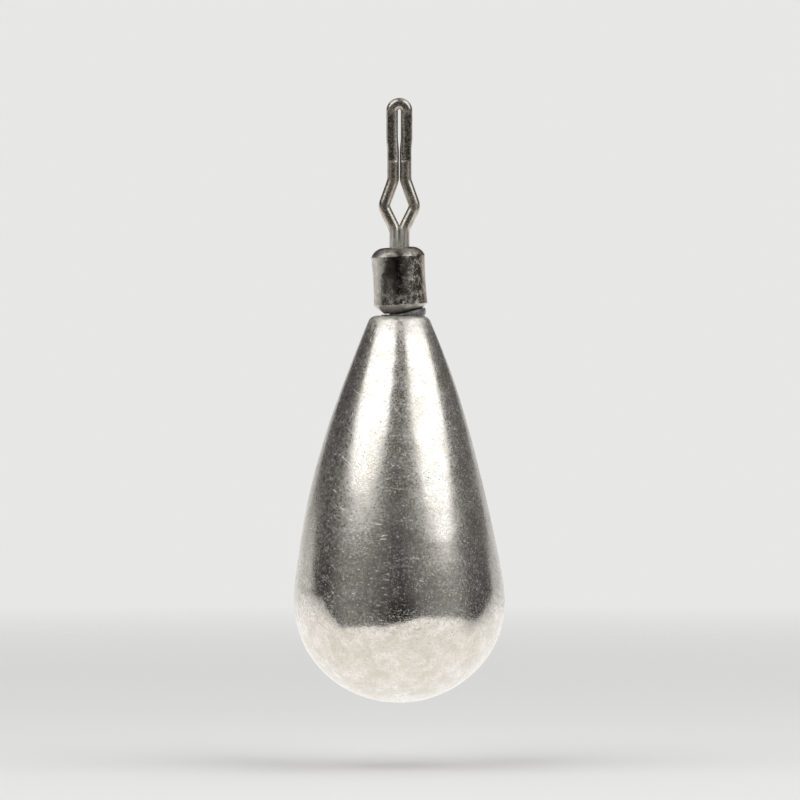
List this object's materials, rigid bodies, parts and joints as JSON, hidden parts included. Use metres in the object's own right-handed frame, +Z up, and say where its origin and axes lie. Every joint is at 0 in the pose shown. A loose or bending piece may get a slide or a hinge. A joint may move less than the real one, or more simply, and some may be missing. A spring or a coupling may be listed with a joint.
{
  "type": "fishing sinker",
  "caption": "Teardrop drop-shot fishing sinker that hangs from a barrel swivel, with a folded wire clip whose diamond eye and tapering slot hold the line without a knot.",
  "frame": {"origin": "middle of the line eye, the diamond in the wire clip, where the line carries the sinker", "axes": "+Z up along the line of pull, from the weight to the clip's fold; +Y through the line eye, away from the viewer; +X to the viewer's right, so the clip lies in the XZ plane"},
  "size_m": [0.0098, 0.0098, 0.0282],
  "materials": {
    "tungsten": "tumbled bright sintered tungsten alloy, finely scratched and pitted",
    "plated_brass": "dark nickel plate, polished, tarnished in patches",
    "steel_wire": "drawn spring wire, polished, slightly browned",
    "epoxy": "set glue, glossy, greyish"
  },
  "bodies": {
    "clip": {"line_clip": "steel_wire"},
    "barrel": {"swivel_barrel": "plated_brass"},
    "weight": {"sinker_body": "tungsten", "epoxy_plug": "epoxy", "anchor_eye": "steel_wire"}
  },
  "joints": [
    {"name": "clip_swivel", "type": "hinge", "parent": "clip", "child": "barrel", "pos_m": [0, 0, -0.00188], "axis": [0, 0, 1], "continuous": true},
    {"name": "weight_swivel", "type": "hinge", "parent": "barrel", "child": "weight", "pos_m": [0, 0, -0.00493], "axis": [0, 0, 1], "continuous": true}
  ]
}
